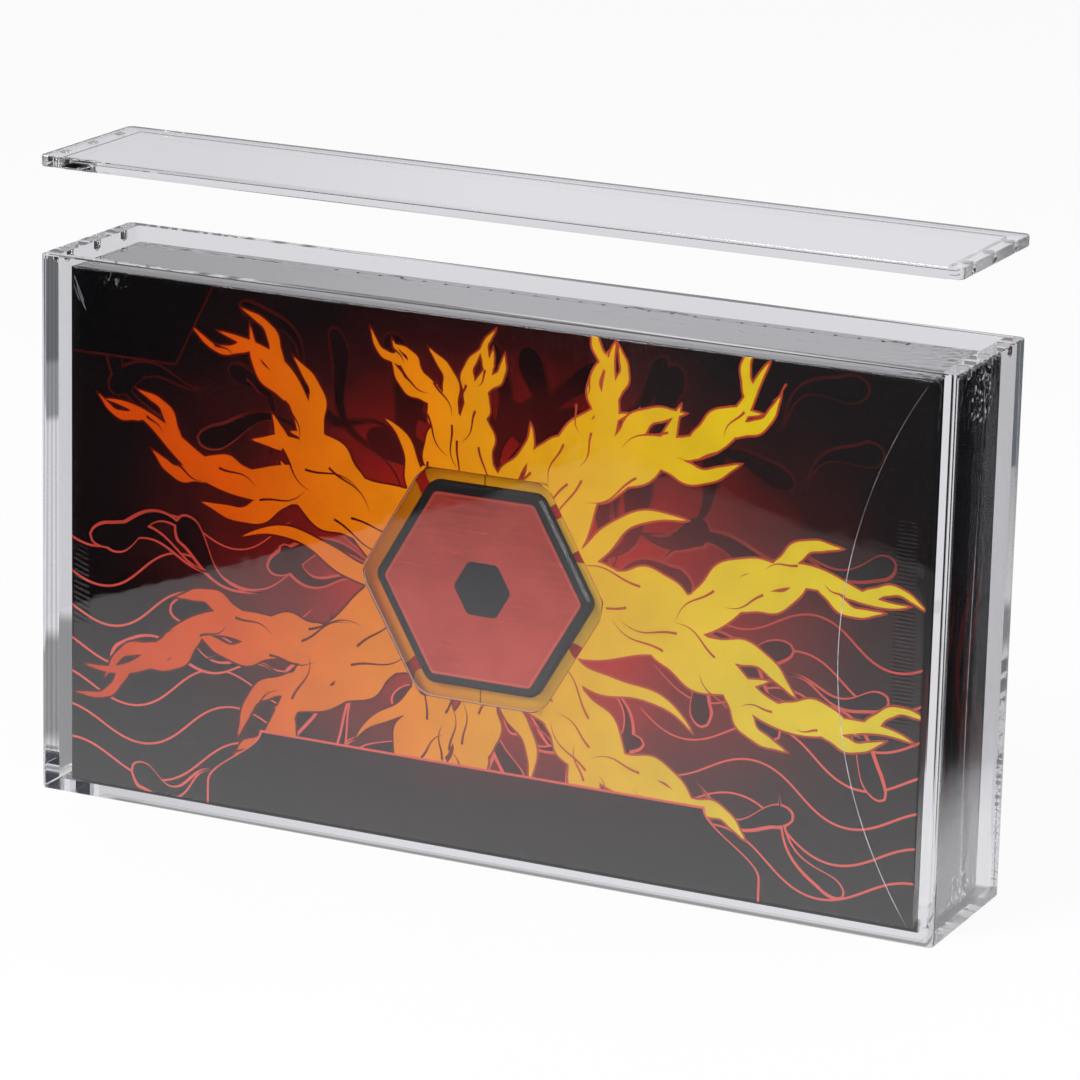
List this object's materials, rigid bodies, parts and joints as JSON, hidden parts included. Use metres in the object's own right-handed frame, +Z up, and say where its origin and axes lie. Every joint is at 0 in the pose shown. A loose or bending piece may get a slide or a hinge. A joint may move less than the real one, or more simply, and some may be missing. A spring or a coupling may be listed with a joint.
{
  "type": "collectible display case",
  "caption": "Clear acrylic display case with a lift-off magnetic lid, holding a shrink-wrapped boxed set with a raised badge.",
  "frame": {"origin": "centre of the case's footprint, on the surface it stands on", "axes": "+X along the width to the right, +Y along the depth to the back, +Z up"},
  "size_m": [0.44, 0.08, 0.296],
  "materials": {
    "clear_acrylic": "clear cast acrylic with polished edges",
    "magnet_nickel": "nickel-plated disc magnets",
    "shrink_film": "clear glossy shrink film",
    "printed_card": "laminated printed card, dark ground with orange and yellow rays",
    "tray_card": "laminated printed card",
    "badge_plastic": "black moulded plastic",
    "badge_foil": "red metallic foil"
  },
  "bodies": {
    "case": {"base_panel": "clear_acrylic", "front_panel": "clear_acrylic", "back_panel": "clear_acrylic", "left_side_panel": "clear_acrylic", "right_side_panel": "clear_acrylic", "case_magnet_left_front": "magnet_nickel", "case_magnet_left_middle": "magnet_nickel", "case_magnet_left_rear": "magnet_nickel", "case_magnet_right_front": "magnet_nickel", "case_magnet_right_middle": "magnet_nickel", "case_magnet_right_rear": "magnet_nickel"},
    "boxed_set": {"shrink_film": "shrink_film", "carton": "printed_card", "display_tray": "tray_card", "badge_frame": "badge_plastic", "badge_face": "badge_foil"},
    "lid": {"lid_panel": "clear_acrylic", "lid_magnet_left_front": "magnet_nickel", "lid_magnet_left_middle": "magnet_nickel", "lid_magnet_left_rear": "magnet_nickel", "lid_magnet_right_front": "magnet_nickel", "lid_magnet_right_middle": "magnet_nickel", "lid_magnet_right_rear": "magnet_nickel"}
  },
  "joints": [
    {"name": "boxed_set_lift", "type": "slide", "parent": "case", "child": "boxed_set", "axis": [0, 0, 1], "range_m": [0, 0.255]},
    {"name": "lid_lift", "type": "slide", "parent": "boxed_set", "child": "lid", "axis": [0, 0, 1], "range_m": [-0.0397, 0.05]}
  ]
}
